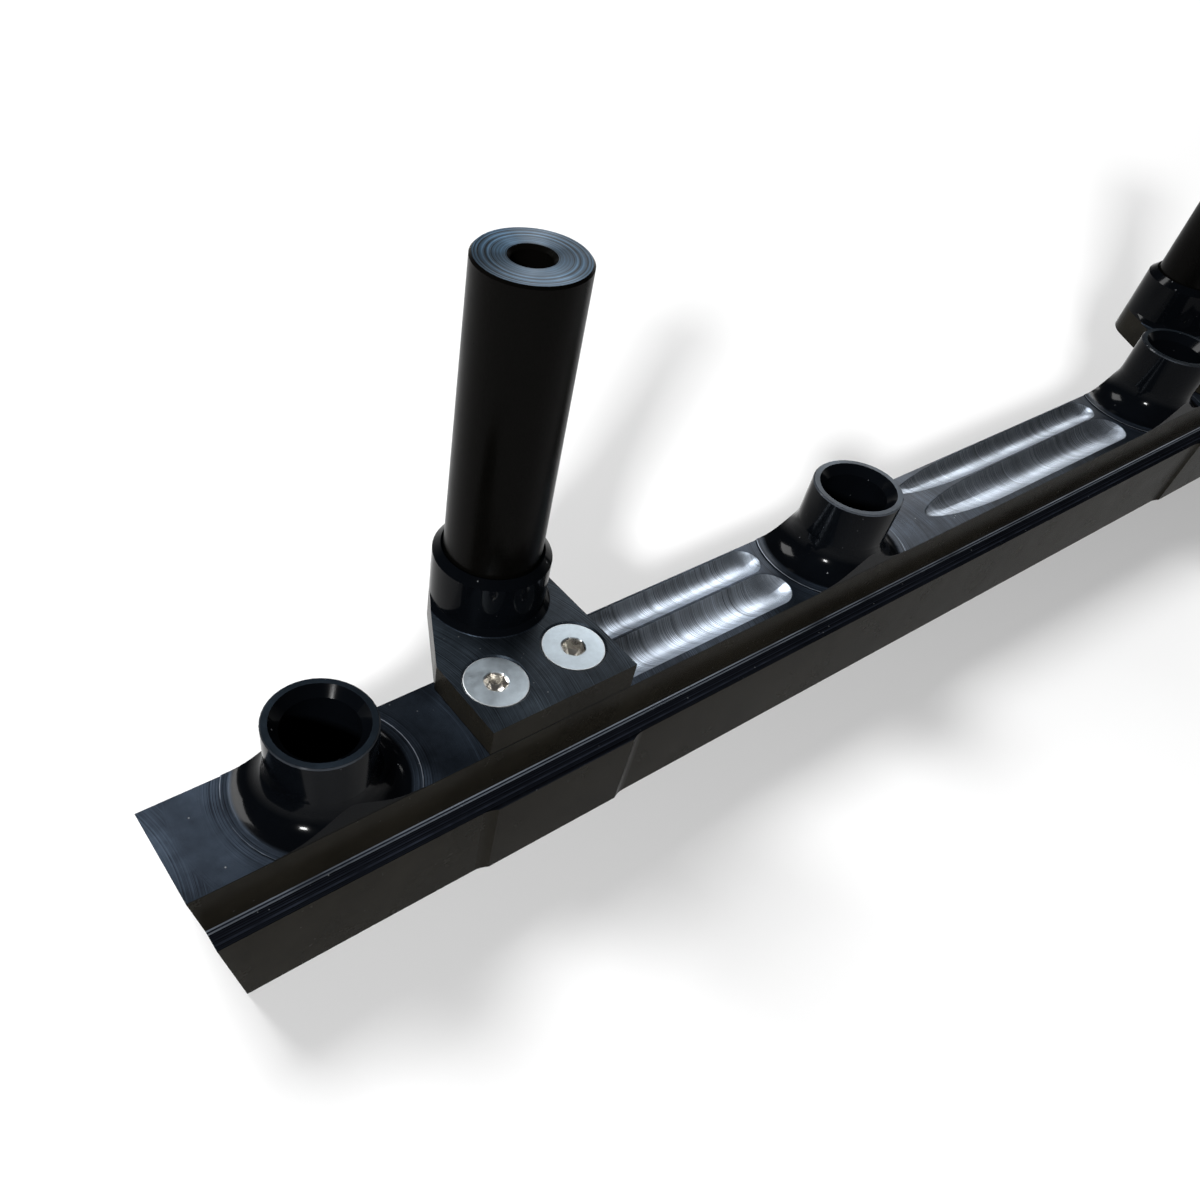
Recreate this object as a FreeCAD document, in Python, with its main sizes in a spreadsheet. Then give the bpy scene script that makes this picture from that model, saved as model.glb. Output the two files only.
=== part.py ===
import FreeCAD, Part
import math
import os
import re
import Sketcher

# Machined fuel rail with injector cups, two bolt-on feet and their stand-off posts.
# X runs along the rail, Y points to the side the posts stand on, Z points up out of the cups.
# The origin is the middle of the flat bottom face, on the line of the cup axes.

doc = FreeCAD.newDocument("fuel_rail")

SIZES = {
    # rail: a long bar with a narrower top block
    "cup_count": 4,
    "cup_pitch": 131.0,
    "end_length": 29.8,
    "end_lean": 10.0,
    "rail_height": 31.1,
    "body_width": 28.4,
    "top_width": 20.0,
    "top_height": 11.0,
    "ledge_corner": 0.8,
    # side pads under the feet
    "pad_proud": 0.8,
    "pad_blend": 6.0,
    # injector cups
    "cup_diameter": 19.5,
    "cup_height": 16.2,
    "cup_fillet": 6.5,
    "ring_diameter": 35.0,
    "ring_step": 0.25,
    "cup_bore": 13.6,
    "cup_depth": 12.0,
    "lead_diameter": 16.8,
    "lead_depth": 1.8,
    "feed_bore": 7.7,
    "rim_break": 0.25,
    # fuel gallery and its end ports
    "gallery_bore": 13.0,
    "gallery_level": 13.2,
    "port_bore": 17.5,
    "port_depth": 16.0,
    "seat_diameter": 20.6,
    "seat_depth": 2.4,
    "spotface_diameter": 22.0,
    "spotface_inset": 5.2,
    # flutes milled into the top between the cups
    "front_flute_centre": -3.5,
    "front_flute_width": 10.0,
    "front_flute_depth": 2.0,
    "rear_flute_centre": 5.8,
    "rear_flute_width": 7.8,
    "rear_flute_depth": 1.8,
    "flute_gap": 1.0,
    "nose_gap": 12.5,
    "nose_length": 27.0,
    # feet
    "first_foot_offset": 45.35,
    "second_foot_offset": 36.35,
    "plate_width": 33.5,
    "plate_thickness": 6.2,
    "plate_kink": 8.4,
    "plate_shoulder": 21.5,
    "collar_diameter": 23.0,
    "collar_height": 12.4,
    "collar_bevel": 1.6,
    "collar_root": 1.2,
    "socket_bevel": 0.6,
    # posts
    "post_offset": 2.9,
    "post_reach": 20.2,
    "post_diameter": 18.9,
    "post_length": 66.2,
    "post_break": 0.4,
    "bolt_hole": 6.6,
    "bolt_lead": 0.6,
    "socket_clearance": 0.04,
    # countersunk screws
    "screw_pitch": 18.2,
    "screw_thread": 6.0,
    "screw_length": 14.0,
    "head_diameter": 12.4,
    "head_edge": 0.15,
    "head_sink": 0.25,
    "hex_size": 4.0,
    "hex_depth": 2.6,
    "shank_clearance": 0.3,
    "thread_clearance": 0.05,
    "tap_clearance": 1.0,
}

sheet = doc.addObject("Spreadsheet::Sheet", "sizes")
for row, (word, value) in enumerate(SIZES.items(), start=1):
    sheet.set("A%d" % row, word)
    sheet.set("B%d" % row, str(value))
    sheet.setAlias("B%d" % row, word)
doc.recompute()


def tied(text):
    """The expression with each size's word read from the sheet."""
    return re.sub(r"[a-z]+_[a-z_]+", lambda m: "sizes." + m.group(0) if m.group(0) in SIZES else m.group(0), text)


def number(text):
    """The value of an expression in the sheet's sizes."""
    value = sheet.evalExpression(tied(text))
    return float(getattr(value, "Value", value))


def bind(item, **properties):
    for name, text in properties.items():
        item.setExpression(name.replace("__", "."), tied(text))


def add_body(label, x="0", y="0", z="0"):
    body = doc.addObject("PartDesign::Body", label)
    body.Label = label
    bind(body, Placement__Base__x=x, Placement__Base__y=y, Placement__Base__z=z)
    return body


def add_sketch(body, name, plane, x="0", y="0", normal="0"):
    """A sketch on one of the body's origin planes, moved in that plane and along its normal."""
    sketch = body.newObject("Sketcher::SketchObject", name)
    role = plane + "_Plane"
    support = [item for item in body.Origin.OriginFeatures if item.Role == role][0]
    sketch.AttachmentSupport = (support, [""])
    sketch.MapMode = "FlatFace"
    bind(sketch, AttachmentOffset__Base__x=x, AttachmentOffset__Base__y=y, AttachmentOffset__Base__z=normal)
    return sketch


def pin(curve, point, x, y):
    """Rules that hold a point of a curve at expressions for its two coordinates."""
    return [("DistanceX", curve, point, x), ("DistanceY", curve, point, y)]


def constrain(sketch, rules):
    """Add all rules in one solve; a rule that ends in an expression keeps it."""
    first = sketch.ConstraintCount
    sketch.addConstraint([
        Sketcher.Constraint(*rule[:-1], number(rule[-1])) if isinstance(rule[-1], str) else Sketcher.Constraint(*rule)
        for rule in rules
    ])
    for index, rule in enumerate(rules, start=first):
        if isinstance(rule[-1], str):
            sketch.setExpression("Constraints[%d]" % index, tied(rule[-1]))


def add_circle(sketch, x, y, radius):
    centre = FreeCAD.Vector(number(x), number(y), 0)
    curve = sketch.addGeometry(Part.Circle(centre, FreeCAD.Vector(0, 0, 1), number(radius)))
    constrain(sketch, pin(curve, 3, x, y) + [("Radius", curve, radius)])


def arc_between(start, end, radius, turn):
    """The short arc from start to end; its centre is to the left of the way when turn is 1, to the right when -1."""
    way = end - start
    side = FreeCAD.Vector(-way.y, way.x, 0).normalize() * turn
    rise = math.sqrt(max(radius ** 2 - (way.Length / 2) ** 2, 0))
    centre = (start + end) * 0.5 + side * rise
    first, last = [math.atan2(point.y - centre.y, point.x - centre.x) for point in (start, end)[::turn]]
    if last < first:
        last += 2 * math.pi
    return Part.ArcOfCircle(Part.Circle(centre, FreeCAD.Vector(0, 0, 1), radius), first, last)


def add_outline(sketch, points, arcs=None):
    """A closed outline through points given as expressions; arcs maps an edge to its radius and turn."""
    arcs = arcs or {}
    places = [FreeCAD.Vector(number(x), number(y), 0) for x, y in points]
    count = len(points)
    curves = []
    for i, start in enumerate(places):
        end = places[(i + 1) % count]
        if i in arcs:
            radius, turn = arcs[i]
            curves.append(sketch.addGeometry(arc_between(start, end, number(radius), turn)))
        else:
            curves.append(sketch.addGeometry(Part.LineSegment(start, end)))
    ends = []
    for i in range(count):
        backward = i in arcs and arcs[i][1] < 0
        ends.append((2, 1) if backward else (1, 2))
    rules = []
    for i in range(count):
        after = (i + 1) % count
        rules.append(("Coincident", curves[i], ends[i][1], curves[after], ends[after][0]))
        rules += pin(curves[i], ends[i][0], *points[i])
    for i, (radius, turn) in arcs.items():
        rules.append(("Radius", curves[i], radius))
    constrain(sketch, rules)


def finish(body, feature, grows):
    """Make the feature the body's tip and stop if it added or removed nothing."""
    before = body.Tip.Shape.Volume if body.Tip and body.Tip is not feature and body.Tip.Shape.isValid() else 0
    base = getattr(feature, "BaseFeature", None)
    if base:
        before = base.Shape.Volume
    body.Tip = feature
    doc.recompute()
    change = feature.Shape.Volume - before
    if (change > 0) != grows or abs(change) < 1e-6:
        raise RuntimeError("%s changes the volume by %.3f" % (feature.Name, change))
    return feature


def pad(body, sketch, length, both_ways=False):
    feature = body.newObject("PartDesign::Pad", sketch.Name + "_pad")
    feature.Profile = sketch
    feature.Midplane = both_ways
    bind(feature, Length=length)
    return finish(body, feature, True)


def pocket(body, sketch, length, reverse=False, both_ways=False):
    feature = body.newObject("PartDesign::Pocket", sketch.Name + "_pocket")
    feature.Profile = sketch
    feature.Reversed = reverse
    feature.Midplane = both_ways
    bind(feature, Length=length)
    return finish(body, feature, False)


def turn(body, sketch, axis, cut=False):
    kind = "Groove" if cut else "Revolution"
    feature = body.newObject("PartDesign::" + kind, sketch.Name + "_turned")
    feature.Profile = sketch
    feature.ReferenceAxis = (sketch, [axis])
    feature.Angle = 360
    return finish(body, feature, not cut)


def repeat_along_x(body, feature, length, count, grows):
    pattern = body.newObject("PartDesign::LinearPattern", feature.Name + "_row")
    axis = [item for item in body.Origin.OriginFeatures if item.Role == "X_Axis"][0]
    pattern.Originals = [feature]
    pattern.Direction = (axis, [""])
    bind(pattern, Length=length, Occurrences=count)
    return finish(body, pattern, grows)


def mirror_ends(body, feature, grows):
    mirrored = body.newObject("PartDesign::Mirrored", feature.Name + "_mirrored")
    plane = [item for item in body.Origin.OriginFeatures if item.Role == "YZ_Plane"][0]
    mirrored.Originals = [feature]
    mirrored.MirrorPlane = (plane, [""])
    return finish(body, mirrored, grows)


# Places along the rail, worked out from the sizes
HALF_TOP = "((cup_count - 1) * cup_pitch / 2 + end_length)"
HALF_BOTTOM = "(%s - rail_height * tan(end_lean * 1deg))" % HALF_TOP
FIRST_CUP = "(-(cup_count - 1) * cup_pitch / 2)"
LEDGE_LEVEL = "(rail_height - top_height)"
RIM_LEVEL = "(rail_height + cup_height)"


def cup_place(index):
    return "(%s + %s * cup_pitch)" % (FIRST_CUP, index)


# One foot stands in the first gap between cups and one in the last, each placed from the cup on its left
FOOT_PLACES = [
    "(%s + first_foot_offset)" % cup_place(0),
    "(%s + second_foot_offset)" % cup_place("(cup_count - 2)"),
]


# Rail bar

def make_bar(rail):
    side = add_sketch(rail, "side_profile", "XZ")
    add_outline(side, [
        ("-" + HALF_BOTTOM, "0"),
        (HALF_BOTTOM, "0"),
        (HALF_TOP, "rail_height"),
        ("-" + HALF_TOP, "rail_height"),
    ])
    pad(rail, side, "body_width", both_ways=True)


def make_side_pads(rail):
    """The bar keeps its full width under each foot and is milled back elsewhere with a round cutter."""
    face = "(body_width / 2)"
    proud = "(body_width / 2 + pad_proud)"
    blend = "sqrt(2 * pad_blend * pad_proud - pad_proud * pad_proud)"
    for index, place in enumerate(FOOT_PLACES, start=1):
        plan = add_sketch(rail, "side_pads_%d" % index, "XY", x=place)
        near = "(plate_width / 2)"
        far = "(plate_width / 2 + %s)" % blend
        add_outline(plan, [
            ("-" + far, "-" + face),
            ("-" + near, "-" + proud),
            (near, "-" + proud),
            (far, "-" + face),
            (far, face),
            (near, proud),
            ("-" + near, proud),
            ("-" + far, face),
        ], {0: ("pad_blend", -1), 2: ("pad_blend", -1), 4: ("pad_blend", -1), 6: ("pad_blend", -1)})
        pad(rail, plan, LEDGE_LEVEL)


def make_cups(rail):
    cup = add_sketch(rail, "cup_profile", "XZ", x=FIRST_CUP, y="rail_height")
    wall = "(cup_diameter / 2)"
    foot = "(cup_diameter / 2 + cup_fillet)"
    add_outline(cup, [
        ("0", "-top_height / 2"),
        ("ring_diameter / 2", "-top_height / 2"),
        ("ring_diameter / 2", "ring_step"),
        (foot, "ring_step"),
        (wall, "ring_step + cup_fillet"),
        (wall, "cup_height - rim_break"),
        (wall + " - rim_break", "cup_height"),
        ("0", "cup_height"),
    ], {3: ("cup_fillet", -1)})
    turned = turn(rail, cup, "V_Axis")
    repeat_along_x(rail, turned, "(cup_count - 1) * cup_pitch", "cup_count", True)


def make_ledges(rail):
    """Both long ledges, which also trim the cups' fillets flush with the top block."""
    section = add_sketch(rail, "ledges", "YZ")
    inner = "(top_width / 2)"
    outer = "(ring_diameter / 2 + body_width)"
    for side, corner_turn in (("", 1), ("-", -1)):
        add_outline(section, [
            (side + "(top_width / 2 + ledge_corner)", LEDGE_LEVEL),
            (side + outer, LEDGE_LEVEL),
            (side + outer, RIM_LEVEL),
            (side + inner, RIM_LEVEL),
            (side + inner, LEDGE_LEVEL + " + ledge_corner"),
        ], {4: ("ledge_corner", corner_turn)})
    pocket(rail, section, "4 * %s" % HALF_TOP, both_ways=True)


def make_cup_bores(rail):
    bore = add_sketch(rail, "cup_bore_profile", "XZ", x=FIRST_CUP, y=RIM_LEVEL)
    floor = "-(cup_height + rail_height - gallery_level)"
    add_outline(bore, [
        ("0", floor),
        ("feed_bore / 2", floor),
        ("feed_bore / 2", "-cup_depth"),
        ("cup_bore / 2", "-cup_depth"),
        ("cup_bore / 2", "-lead_depth"),
        ("lead_diameter / 2", "0"),
        ("0", "0"),
    ])
    turned = turn(rail, bore, "V_Axis", cut=True)
    repeat_along_x(rail, turned, "(cup_count - 1) * cup_pitch", "cup_count", False)


def make_gallery(rail):
    gallery = add_sketch(rail, "gallery", "YZ")
    add_circle(gallery, "0", "gallery_level", "gallery_bore / 2")
    pocket(rail, gallery, "4 * %s" % HALF_TOP, both_ways=True)
    port = add_sketch(rail, "port_profile", "XZ", x="-" + HALF_TOP, y="gallery_level")
    face = "spotface_inset"
    add_outline(port, [
        ("-spotface_inset", "0"),
        ("-spotface_inset", "spotface_diameter / 2"),
        (face, "spotface_diameter / 2"),
        (face, "seat_diameter / 2"),
        (face + " + seat_depth", "port_bore / 2"),
        (face + " + port_depth", "port_bore / 2"),
        (face + " + port_depth", "0"),
    ])
    turned = turn(rail, port, "H_Axis", cut=True)
    mirror_ends(rail, turned, False)


def make_flutes(rail):
    """Two round-bottomed flutes side by side in each gap, with a long nose on the left and a ball end on the right."""
    for side in ("front", "rear"):
        width = side + "_flute_width"
        depth = side + "_flute_depth"
        reach = "((%s ^ 2 / 4 + %s ^ 2) / (2 * %s))" % (width, depth, depth)
        lift = "(%s - %s)" % (reach, depth)
        bend = "((nose_length ^ 2 + %s ^ 2) / (2 * %s))" % (depth, depth)
        start = "(%s + ring_diameter / 2 + nose_gap + nose_length)" % FIRST_CUP
        end = "(%s - ring_diameter / 2 - flute_gap - %s / 2)" % (cup_place(1), width)
        inner = "(%s * 3 / 4)" % lift
        near = "%s - sqrt(%s ^ 2 - (%s - %s + %s) ^ 2)" % (start, bend, bend, reach, inner)
        far = "%s + sqrt(%s ^ 2 - %s ^ 2)" % (end, reach, inner)
        sketch = add_sketch(
            rail, side + "_flute", "XZ", y="rail_height + " + lift, normal="-%s_flute_centre" % side)
        add_outline(sketch, [
            (near, "0"),
            (far, "0"),
            (far, "-" + inner),
            (end, "-" + reach),
            (start, "-" + reach),
            (near, "-" + inner),
        ], {2: (reach, -1), 4: (bend, -1)})
        turned = turn(rail, sketch, "H_Axis", cut=True)
        repeat_along_x(rail, turned, "(cup_count - 2) * cup_pitch", "cup_count - 1", False)


def make_screw_holes(rail):
    holes = add_sketch(rail, "screw_holes", "XY", normal="rail_height")
    for place in FOOT_PLACES:
        for side in ("+", "-"):
            add_circle(holes, "%s %s screw_pitch / 2" % (place, side), "0", "screw_thread / 2 + thread_clearance")
    pocket(rail, holes, "screw_length + head_sink - plate_thickness + tap_clearance")


def make_rail():
    rail = add_body("rail_body")
    make_bar(rail)
    make_side_pads(rail)
    make_cups(rail)
    make_ledges(rail)
    make_cup_bores(rail)
    make_gallery(rail)
    make_flutes(rail)
    make_screw_holes(rail)
    return rail


# Feet: a screwed plate and the socket collar in one piece; local origin midway between the screws

def add_plate_outline(sketch):
    """Square at the front, with sides that run tangent into the round end about the post."""
    half = "(plate_width / 2)"
    front = "(-top_width / 2)"
    corners = [("-" + half, front), (half, front), (half, "plate_shoulder"), ("-" + half, "plate_kink")]
    places = [FreeCAD.Vector(number(x), number(y), 0) for x, y in corners]
    centre = FreeCAD.Vector(number("post_offset"), number("post_reach"), 0)
    radius = number("collar_diameter / 2")

    def touch(point, side):
        away = point - centre
        angle = math.atan2(away.y, away.x) + side * math.acos(radius / away.Length)
        return centre + FreeCAD.Vector(math.cos(angle), math.sin(angle), 0) * radius

    right = touch(places[2], 1)
    left = touch(places[3], -1)
    front_edge, right_edge, right_slope, left_slope, left_edge = [
        sketch.addGeometry(Part.LineSegment(start, end))
        for start, end in zip(places[:3] + [left, places[3]], places[1:3] + [right, places[3], places[0]])
    ]
    crown = sketch.addGeometry(Part.Arc(right, centre + FreeCAD.Vector(0, radius, 0), left))
    rules = [
        ("Coincident", first, 2, second, 1)
        for first, second in ((left_edge, front_edge), (front_edge, right_edge), (right_edge, right_slope),
                              (left_slope, left_edge))
    ]
    rules += [("Tangent", right_slope, 2, crown, 1), ("Tangent", crown, 2, left_slope, 1)]
    for edge, (x, y) in zip((front_edge, right_edge, right_slope, left_edge), corners):
        rules += pin(edge, 1, x, y)
    rules += pin(crown, 3, "post_offset", "post_reach")
    rules.append(("Radius", crown, "collar_diameter / 2"))
    constrain(sketch, rules)


def make_foot(index):
    foot = add_body("mount_foot_%d" % index, x=FOOT_PLACES[index - 1], z="rail_height")
    plate = add_sketch(foot, "plate_%d" % index, "XY")
    add_plate_outline(plate)
    pad(foot, plate, "plate_thickness")

    collar = add_sketch(foot, "collar_%d" % index, "XZ", x="post_offset", normal="-post_reach")
    outer = "(collar_diameter / 2)"
    top = "(plate_thickness + collar_height)"
    add_outline(collar, [
        ("0", "plate_thickness / 2"),
        (outer + " + collar_root", "plate_thickness / 2"),
        (outer + " + collar_root", "plate_thickness"),
        (outer, "plate_thickness + collar_root"),
        (outer, top + " - collar_bevel"),
        (outer + " - collar_bevel", top),
        ("0", top),
    ])
    turn(foot, collar, "V_Axis")
    waste = add_sketch(foot, "collar_trim_%d" % index, "XY")
    beyond = "(2 * plate_width)"
    add_outline(waste, [
        ("-" + beyond, "-" + beyond),
        (beyond, "-" + beyond),
        (beyond, beyond),
        ("-" + beyond, beyond),
    ])
    add_plate_outline(waste)
    pocket(foot, waste, "plate_thickness + collar_root", reverse=True)

    socket = add_sketch(foot, "socket_%d" % index, "XZ", x="post_offset", y=top, normal="-post_reach")
    bore = "(post_diameter / 2 + socket_clearance)"
    add_outline(socket, [
        ("0", "-collar_height"),
        (bore, "-collar_height"),
        (bore, "-socket_bevel"),
        (bore + " + socket_bevel", "0"),
        ("0", "0"),
    ])
    turn(foot, socket, "V_Axis", cut=True)

    hole = add_sketch(foot, "bolt_hole_%d" % index, "XY", x="post_offset", y="post_reach")
    add_circle(hole, "0", "0", "bolt_hole / 2")
    pocket(foot, hole, "plate_thickness + collar_height", reverse=True)

    sink = add_sketch(foot, "countersink_%d" % index, "XZ", x="-screw_pitch / 2", y="plate_thickness")
    mouth = "(head_diameter / 2 + head_edge + head_sink)"
    shank = "(screw_thread / 2 + shank_clearance)"
    add_outline(sink, [
        ("0", "-plate_thickness"),
        (shank, "-plate_thickness"),
        (shank, "-(%s - %s)" % (mouth, shank)),
        (mouth, "0"),
        ("0", "0"),
    ])
    turned = turn(foot, sink, "V_Axis", cut=True)
    repeat_along_x(foot, turned, "screw_pitch", "2", False)
    return foot


# Posts: a turned sleeve that stands on the floor of the foot's socket

def make_post(index):
    post = add_body(
        "standoff_post_%d" % index,
        x="%s + post_offset" % FOOT_PLACES[index - 1], y="post_reach", z="rail_height + plate_thickness",
    )
    section = add_sketch(post, "post_section_%d" % index, "XZ")
    outer = "(post_diameter / 2)"
    inner = "(bolt_hole / 2)"
    add_outline(section, [
        (inner, "0"),
        (outer, "0"),
        (outer, "post_length - post_break"),
        (outer + " - post_break", "post_length"),
        (inner + " + bolt_lead", "post_length"),
        (inner, "post_length - bolt_lead"),
    ])
    turn(post, section, "V_Axis")
    return post


# Screws: countersunk, with a hexagon socket; local origin at the centre of the head's face

def make_screw(index):
    foot = FOOT_PLACES[(index - 1) // 2]
    side = "-" if index % 2 else "+"
    screw = add_body(
        "foot_screw_%d" % index,
        x="%s %s screw_pitch / 2" % (foot, side), z="rail_height + plate_thickness - head_sink",
    )
    section = add_sketch(screw, "screw_section_%d" % index, "XZ")
    head = "(head_diameter / 2)"
    shank = "(screw_thread / 2)"
    add_outline(section, [
        ("0", "-screw_length"),
        (shank, "-screw_length"),
        (shank, "-head_edge - (%s - %s)" % (head, shank)),
        (head, "-head_edge"),
        (head, "0"),
        ("0", "0"),
    ])
    turn(screw, section, "V_Axis")
    socket = add_sketch(screw, "hexagon_%d" % index, "XY")
    corner = "(hex_size / sqrt(3))"
    add_outline(socket, [
        ("%s * cos(%d * 1deg)" % (corner, angle), "%s * sin(%d * 1deg)" % (corner, angle))
        for angle in range(0, 360, 60)
    ])
    pocket(screw, socket, "hex_depth")
    return screw


parts = [make_rail()]
parts += [make_foot(index) for index in (1, 2)]
parts += [make_post(index) for index in (1, 2)]
parts += [make_screw(index) for index in (1, 2, 3, 4)]
doc.recompute()

for item in doc.Objects:
    if "Invalid" in item.State or "Error" in item.State:
        raise RuntimeError("%s is %s" % (item.Name, item.State))
for part in parts:
    if part.Shape.isNull() or not part.Shape.isValid() or len(part.Shape.Solids) != 1:
        raise RuntimeError("%s has no single valid solid" % part.Label)

os.makedirs("parts", exist_ok=True)
for part in parts:
    part.Shape.exportStep("parts/%s.step" % part.Label)
    box = part.Shape.BoundBox
    print("%-16s %10.1f mm3  x %.1f..%.1f  y %.1f..%.1f  z %.1f..%.1f" % (
        part.Label, part.Shape.Volume, box.XMin, box.XMax, box.YMin, box.YMax, box.ZMin, box.ZMax))
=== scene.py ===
import math

import bmesh
import bpy
from mathutils import Euler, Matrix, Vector


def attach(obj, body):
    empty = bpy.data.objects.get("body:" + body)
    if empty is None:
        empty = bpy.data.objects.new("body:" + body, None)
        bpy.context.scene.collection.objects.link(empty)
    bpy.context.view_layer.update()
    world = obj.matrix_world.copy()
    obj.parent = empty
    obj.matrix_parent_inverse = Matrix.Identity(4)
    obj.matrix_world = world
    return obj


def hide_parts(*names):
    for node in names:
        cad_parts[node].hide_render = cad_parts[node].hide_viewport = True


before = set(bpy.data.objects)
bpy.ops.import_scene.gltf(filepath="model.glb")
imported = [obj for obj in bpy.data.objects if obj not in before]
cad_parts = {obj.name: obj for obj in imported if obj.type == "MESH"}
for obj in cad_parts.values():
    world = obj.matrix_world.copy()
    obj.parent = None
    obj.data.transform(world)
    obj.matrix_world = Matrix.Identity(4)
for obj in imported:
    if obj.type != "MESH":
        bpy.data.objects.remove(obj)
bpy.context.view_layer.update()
print("frame loaded")

mm = 0.001

# the rail's own measures, in millimetres, as the solids have them
rail = {
    "cupPitch": 131.0,
    "topLevel": 31.1,
    "ledgeLevel": 20.1,
    "topHalfWidth": 10.0,
    "ringRadius": 17.5,         # round step about each cup
    "cupRadius": 9.75,
    "cupTop": 47.3,
    "plateLevel": 37.3,         # top of the feet's plates
    "frontFlute": -3.5,
    "rearFlute": 5.8,
    "firstFoot": -151.15,       # midway between the foot's screws
    "footSpacing": 253.0,
    "screwPitch": 18.2,
    "firstPost": -148.25,
    "postRow": 20.2,
}


# camera, standing where the photograph was taken from

camera = {
    "place": (-0.24379, -0.09214, 0.17061),
    "turn": (38.69, -5.13, -34.50),
    "sensor": 36,
    "focalRatio": 0.82661,      # focal length over the picture's width
    "shift": (0.1076, 0.1230),
    "nearest": 0.01,
}
cameraData = bpy.data.cameras.new("camera")
cameraData.sensor_width = camera["sensor"]
cameraData.lens = camera["sensor"] * camera["focalRatio"]
cameraData.shift_x, cameraData.shift_y = camera["shift"]
cameraData.clip_start = camera["nearest"]
cameraObject = bpy.data.objects.new("camera", cameraData)
cameraObject.location = camera["place"]
cameraObject.rotation_euler = Euler([math.radians(a) for a in camera["turn"]])
bpy.context.scene.collection.objects.link(cameraObject)
bpy.context.scene.camera = cameraObject
bpy.context.scene.view_settings.view_transform = "Standard"


# small helpers for node trees

def addNode(tree, kind, **settings):
    node = tree.nodes.new(kind)
    for name, value in settings.items():
        setattr(node, name, value)
    return node


def setInputs(node, **values):
    for name, value in values.items():
        node.inputs[name.replace("_", " ")].default_value = value


def feed(tree, value, socket):
    # a plain value is set on the socket, and another node's output is linked to it
    if isinstance(value, (int, float, tuple)):
        socket.default_value = value
    else:
        tree.links.new(value, socket)


def mathNode(tree, operation, first, second=None, third=None, clamp=False):
    node = addNode(tree, "ShaderNodeMath", operation=operation, use_clamp=clamp)
    for index, value in enumerate((first, second, third)):
        if value is not None:
            feed(tree, value, node.inputs[index])
    return node.outputs[0]


def multiply(tree, *values):
    result = values[0]
    for value in values[1:]:
        result = mathNode(tree, "MULTIPLY", result, value)
    return result


def line(tree, value, slope, start):
    return mathNode(tree, "MULTIPLY_ADD", value, slope, start)


def highest(tree, *values):
    result = values[0]
    for value in values[1:]:
        result = mathNode(tree, "MAXIMUM", value, result)
    return result


def opposite(tree, value):
    return mathNode(tree, "SUBTRACT", 1.0, value)


def distance(tree, across, along):
    squares = mathNode(tree, "ADD", multiply(tree, across, across), multiply(tree, along, along))
    return mathNode(tree, "SQRT", squares)


def splitVector(tree, vector):
    node = addNode(tree, "ShaderNodeSeparateXYZ")
    tree.links.new(vector, node.inputs[0])
    return node.outputs


def stepUp(tree, value, low, high):
    # 0 at low and 1 at high, smooth between; high may be the smaller one
    node = addNode(tree, "ShaderNodeMapRange", interpolation_type="SMOOTHSTEP")
    tree.links.new(value, node.inputs["Value"])
    setInputs(node, From_Min=low, From_Max=high)
    return node.outputs["Result"]


def zone(tree, value, edges, start=0.0):
    # two edges make a smooth step, and three a band with a soft rim, in millimetres from start
    if len(edges) == 2:
        return stepUp(tree, value, (start + edges[0]) * mm, (start + edges[1]) * mm)
    low, high, soft = edges
    rise = stepUp(tree, value, (start + low - soft) * mm, (start + low) * mm)
    fall = stepUp(tree, value, (start + high + soft) * mm, (start + high) * mm)
    return multiply(tree, rise, fall)


def mixColours(tree, amount, first, second, blend="MIX"):
    node = addNode(tree, "ShaderNodeMix", data_type="RGBA", blend_type=blend)
    feed(tree, amount, node.inputs[0])
    for socket, value in ((node.inputs[6], first), (node.inputs[7], second)):
        feed(tree, (*value, 1) if isinstance(value, tuple) else value, socket)
    return node.outputs[2]


def shadeColour(tree, colour, factor):
    return mixColours(tree, 1.0, colour, factor, "MULTIPLY")


def mixNumbers(tree, amount, first, second):
    node = addNode(tree, "ShaderNodeMix", data_type="FLOAT")
    for socket, value in zip((node.inputs[0], node.inputs[2], node.inputs[3]), (amount, first, second)):
        feed(tree, value, socket)
    return node.outputs[0]


def addSockets(tree, kinds):
    for label, kind in kinds.items():
        tree.interface.new_socket(label, in_out="INPUT", socket_type="NodeSocket" + kind)


def newGroup(name, inputs, output):
    tree = bpy.data.node_groups.new(name, "ShaderNodeTree")
    addSockets(tree, inputs)
    tree.interface.new_socket(output, in_out="OUTPUT", socket_type="NodeSocketFloat")
    return tree, addNode(tree, "NodeGroupInput"), addNode(tree, "NodeGroupOutput")


def useGroup(tree, group, **values):
    node = addNode(tree, "ShaderNodeGroup", node_tree=group)
    for name, value in values.items():
        feed(tree, value, node.inputs[name])
    return node.outputs[0]


# effects that several finishes share

effects = {
    "scratches": {"Scale": 1.0, "Detail": 3.0, "Roughness": 0.7},
    "patches": {"Scale": 160.0, "Detail": 3.0, "Roughness": 0.6},
    "patchStrength": 4.0,
    "speckEdge": (0.22, 0.10),  # where a speck starts in its cell, and where it is full
    "clouds": {"Detail": 5.0, "Roughness": 0.62},
    "cloudRange": {"From_Min": 0.3, "From_Max": 0.7},
}


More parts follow.
